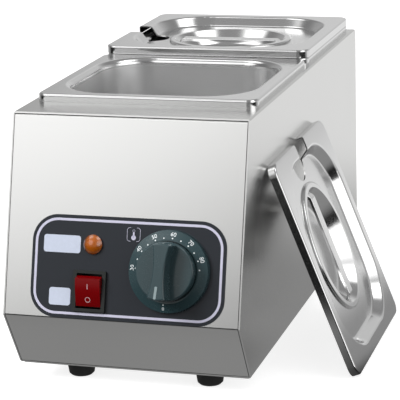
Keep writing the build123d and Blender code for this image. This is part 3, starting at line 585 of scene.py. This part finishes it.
class MELTER_OT_switches(bpy.types.Operator):
    """Finish the lamp and the rocker switch and print the switch's two marks"""

    bl_idname = "melter.switches"
    bl_label = "Lamp and rocker"

    def execute(self, context):
        dress(("indicator_lens",), lens_plastic("amber_lens", colours().lens, LATTICE_PITCH))
        black = plastic("black_moulding", BLACK, roughness=0.35, grain=0.1)
        dress(("indicator_body", "rocker_body", "cable_gland", "gland_locknut"), black)
        red = plastic("red_paddle", colours().rocker, roughness=0.22)
        dress(("rocker_paddle",), red)
        mark, thick = sizes().switch_mark, sizes().print_height
        white = ink("switch_ink", SWITCH_INK, roughness=0.4)
        stroke = plate("switch_on_mark", ON_STROKE, mark, ON_CORNER, thick)
        piece(stroke, self.on_paddle(ON_UP), "rocker", white)
        ring = band("switch_off_mark", mark, mark, OFF_CORNER, OFF_LINE, thick)
        piece(ring, self.on_paddle(OFF_UP), "rocker", white)
        return {"FINISHED"}

    def on_paddle(self, up):
        """A place on the paddle's crowned face, up from its middle, with the paddle as it rests."""
        size = sizes()
        edge = math.sqrt(size.paddle_radius**2 - (size.paddle_face / 2) ** 2)
        rise = size.paddle_rise - edge + math.sqrt(size.paddle_radius**2 - up**2)
        slope = -math.asin(up / size.paddle_radius)
        tilted = ROCKER @ Matrix.Rotation(size.paddle_rest, 4, "X")
        return tilted @ Matrix.Translation((0, up, rise)) @ Matrix.Rotation(slope, 4, "X")


class MELTER_OT_dial(bpy.types.Operator):
    """Finish the dial ring and knob, print the scale and add the pointer"""

    bl_idname = "melter.dial"
    bl_label = "Dial"

    def execute(self, context):
        size = sizes()
        moulded = plastic(
            "dial_moulding", colours().knob, roughness=0.26, grain=0.008, speckle=0.04, coat=0.4
        )
        dress(("dial_ring",), moulded)
        dress(("thermostat_knob",), moulded)
        white = ink("dial_ink", DIAL_INK, roughness=0.5)
        self.number(0, size.zero_angle, size.number_height * ZERO_SCALE, white)
        self.dot(0, size.zero_angle, white)
        for number in range(size.first_number, size.last_number + 1, NUMBER_INTERVAL):
            steps = (number - size.first_number) / NUMBER_INTERVAL
            angle = size.first_angle + steps * size.number_step
            self.number(number, angle, size.number_height, white)
            self.dot(number, angle, white)
            self.dot(number + NUMBER_INTERVAL // 2, angle + size.number_step / 2, white)
        self.pointer()
        return {"FINISHED"}

    def number(self, value, angle, height, material):
        shape = lettering(f"dial_number_{value}", str(value), height, sizes().print_height)
        self.mark(shape, angle, sizes().number_circle, material)

    def dot(self, value, angle, material):
        shape = disc(f"dial_dot_{value}", sizes().dot_radius, sizes().print_height, DOT_STEPS)
        self.mark(shape, angle, sizes().dot_circle, material)

    def mark(self, mesh, angle, radius, material):
        """Prints a mark on the ring's sloping face, clockwise from its foot, with its top outwards."""
        size = sizes()
        run = size.ring_outer - size.ring_inner
        rise = size.ring_high - size.ring_low
        height = size.ring_low + (size.ring_outer - radius) / run * rise
        turned = FACE @ Matrix.Rotation(math.pi - angle, 4, "Z") @ Matrix.Translation((0, radius, height))
        sloped = turned @ Matrix.Rotation(-math.atan2(rise, run), 4, "X")
        piece(mesh, sloped, "housing", material)

    def pointer(self):
        """A pale bar on the grip, let into its face for most of its thickness."""
        size = sizes()
        bar = plate(
            "knob_pointer", size.pointer_width, size.pointer_end - size.pointer_start,
            size.pointer_width / 4, POINTER_THICKNESS,
        )
        outwards = -(size.pointer_start + size.pointer_end) / 2
        turned = FACE @ Matrix.Rotation(-size.knob_turn, 4, "Z")
        placing = turned @ Matrix.Translation((0, outwards, size.knob_top - POINTER_SUNK))
        pale = ink("pointer_ink", POINTER_INK, roughness=0.5)
        piece(bar, placing, "knob", pale)


class MELTER_OT_insides(bpy.types.Operator):
    """Finish the tank, heater, thermostat, sensor and wiring pieces inside"""

    bl_idname = "melter.insides"
    bl_label = "Insides"

    def execute(self, context):
        tank = steel("tank_sheet", TANK_STEEL, roughness=0.3, grain_axis=ALONG_Y)
        dress(("water_tank",), tank)
        cast = metal("cast_aluminium", CAST_ALUMINIUM, roughness=0.45, pitting=0.4)
        dress(("heater_plate",), cast)
        sheath = metal("oxidised_sheath", OXIDISED_STEEL, roughness=0.5, pitting=0.3)
        dress(("heating_element",), sheath)
        fixings = ("element_clamps", "clamp_nuts", "thermostat_screws", "thermostat_shaft", "bulb_clip")
        dress(fixings, metal("zinc_plate", ZINC, roughness=0.32))
        bakelite = plastic("cutout_case", BAKELITE, roughness=0.5, grain=0.2)
        dress(("overheat_cutout",), bakelite)
        case = metal("plated_case", PLATED_CASE, roughness=0.35)
        dress(("thermostat_body",), case)
        copper = metal("drawn_copper", COPPER, roughness=0.3)
        dress(("capillary_tube", "sensor_bulb"), copper)
        nylon = plastic("terminal_nylon", NYLON, roughness=0.45, grain=0.1)
        dress(("terminal_block",), nylon)
        dress(("earth_stud",), metal("turned_brass", BRASS, roughness=0.28))
        return {"FINISHED"}


class MELTER_OT_stage(bpy.types.Operator):
    """Make the floor, world, lights and camera"""

    bl_idname = "melter.stage"
    bl_label = "Stage"

    def execute(self, context):
        self.floor()
        self.world(context.scene)
        self.lights()
        self.camera(context.scene)
        context.scene.view_settings.view_transform = "Standard"
        return {"FINISHED"}

    def floor(self):
        """White paper to the camera. The steel mirrors a table that is bright behind and dark ahead."""
        shape = bmesh.new()
        bmesh.ops.create_grid(shape, x_segments=1, y_segments=1, size=FLOOR_REACH)
        mesh = mesh_of(shape, "floor")
        material = bpy.data.materials.new("floor_paper")
        shader = Shader(material)
        speck = shader.noise(shader.place(), scale=30.0, detail=2.0)
        paper = shader.mix(speck, grey(0.48), grey(0.52))
        diffuse = shader.node("ShaderNodeBsdfDiffuse", None, Color=paper)
        glow = shader.node("ShaderNodeEmission", None, Color=grey(1.0), Strength=0.8)
        white = shader.node("ShaderNodeAddShader", None, diffuse, glow)
        # Each mask begins and ends at a distance in metres from the object's middle
        x, y, _ = shader.axes(shader.place())
        behind = y.smooth(0.12, 0.65)
        near_lid = x.smooth(0.05, 0.15) * (-y).smooth(0.0, 0.12)
        ahead = near_lid.math("MAXIMUM", (-y).smooth(0.2, 0.32)) * (1 - (-y).smooth(1.2, 1.8))
        plain, lit, shade = 0.27, 0.55, 0.26
        level = behind * lit - ahead * shade + plain
        table = shader.node("ShaderNodeEmission", None, Color=grey(1.0), Strength=level)
        seen = shader.node("ShaderNodeMixShader", None, shader.camera_ray(), table, white)
        shader.raw("ShaderNodeOutputMaterial", None, seen)
        mesh.materials.append(material)
        made = bpy.data.objects.new("floor", mesh)
        bpy.context.scene.collection.objects.link(made)

    def world(self, scene):
        """White to the camera. The steel mirrors a grey room, brighter low at the back, with the cards."""
        world = bpy.data.worlds.new("studio")
        scene.world = world
        shader = Shader(world)
        direction = shader.node("ShaderNodeTexCoord", out="Generated")
        x, y, z = shader.axes(direction)
        left_loss, right_loss = 0.6, 0.35
        back = y.smooth(-0.2, 0.5) * (1 - z.smooth(0.3, 0.75))
        back = back * (1 - (-x).smooth(0.26, 0.42) * left_loss) * (1 - x.smooth(0.1, 0.5) * right_loss)
        room, wall, ceiling = 0.19, 0.46, 0.1
        level = back * wall + z.smooth(0.5, 0.9) * ceiling + room
        for azimuth, elevation, inner, outer, power in CARDS:
            across, up = math.radians(azimuth), math.radians(elevation)
            toward = (math.sin(across) * math.cos(up), -math.cos(across) * math.cos(up), math.sin(up))
            near = shader.node(
                "ShaderNodeVectorMath", dict(operation="DOT_PRODUCT"), direction, toward, out="Value"
            )
            card = near.smooth(math.cos(math.radians(outer)), math.cos(math.radians(inner)))
            level = level + card * power
        seen = shader.camera_ray()
        strength = level * (1 - seen) + seen
        made = shader.node("ShaderNodeBackground", None, Color=grey(1.0), Strength=strength)
        shader.raw("ShaderNodeOutputWorld", None, made)

    def lights(self):
        for name, place, aim, side, power in SOFTBOXES:
            lamp = bpy.data.lights.new(name, "AREA")
            lamp.size = side
            lamp.energy = power
            made = bpy.data.objects.new(name, lamp)
            made.visible_glossy = False
            made.location = place
            made.rotation_euler = (Vector(aim) - Vector(place)).to_track_quat("-Z", "Y").to_euler()
            bpy.context.scene.collection.objects.link(made)

    def camera(self, scene):
        """The photograph's viewpoint, from its yaw, pitch and roll."""
        across, along = math.sin(CAMERA_YAW), math.cos(CAMERA_YAW)
        level = math.cos(CAMERA_PITCH)
        forward = Vector((-across * level, along * level, -math.sin(CAMERA_PITCH)))
        right = Vector((along, across, 0))
        up = right.cross(forward)
        turned_right = right * math.cos(CAMERA_ROLL) + up * math.sin(CAMERA_ROLL)
        turned_up = up * math.cos(CAMERA_ROLL) - right * math.sin(CAMERA_ROLL)
        data = bpy.data.cameras.new("photo_view")
        data.sensor_width = CAMERA_SENSOR_MM
        data.lens = CAMERA_LENS_MM
        data.clip_end = CAMERA_FAR
        made = bpy.data.objects.new("photo_view", data)
        axes = Matrix((turned_right, turned_up, -forward)).transposed()
        made.matrix_world = Matrix.Translation(CAMERA_AT) @ axes.to_4x4()
        scene.collection.objects.link(made)
        scene.camera = made


OPERATORS = (
    MELTER_OT_casing,
    MELTER_OT_pans,
    MELTER_OT_fascia,
    MELTER_OT_switches,
    MELTER_OT_dial,
    MELTER_OT_insides,
    MELTER_OT_stage,
)


class MELTER_PT_panel(bpy.types.Panel):
    """Lists the melter's operators, sizes and colours"""

    bl_idname = "MELTER_PT_panel"
    bl_label = "Chocolate melter"
    bl_space_type = "VIEW_3D"
    bl_region_type = "UI"
    bl_category = "Melter"

    def draw(self, context):
        for operator in OPERATORS:
            self.layout.operator(operator.bl_idname)
        for group in (context.scene.melter_sizes, context.scene.melter_colours):
            for name in group.__annotations__:
                self.layout.prop(group, name)


CLASSES = (MelterSizes, MelterColours, *OPERATORS, MELTER_PT_panel)


def register():
    for one in CLASSES:
        bpy.utils.register_class(one)
    bpy.types.Scene.melter_sizes = PointerProperty(type=MelterSizes)
    bpy.types.Scene.melter_colours = PointerProperty(type=MelterColours)


def unregister():
    del bpy.types.Scene.melter_colours
    del bpy.types.Scene.melter_sizes
    for one in reversed(CLASSES):
        bpy.utils.unregister_class(one)


def main():
    register()
    for operator in OPERATORS:
        group, name = operator.bl_idname.split(".")
        getattr(getattr(bpy.ops, group), name)()


if __name__ == "__main__":
    main()
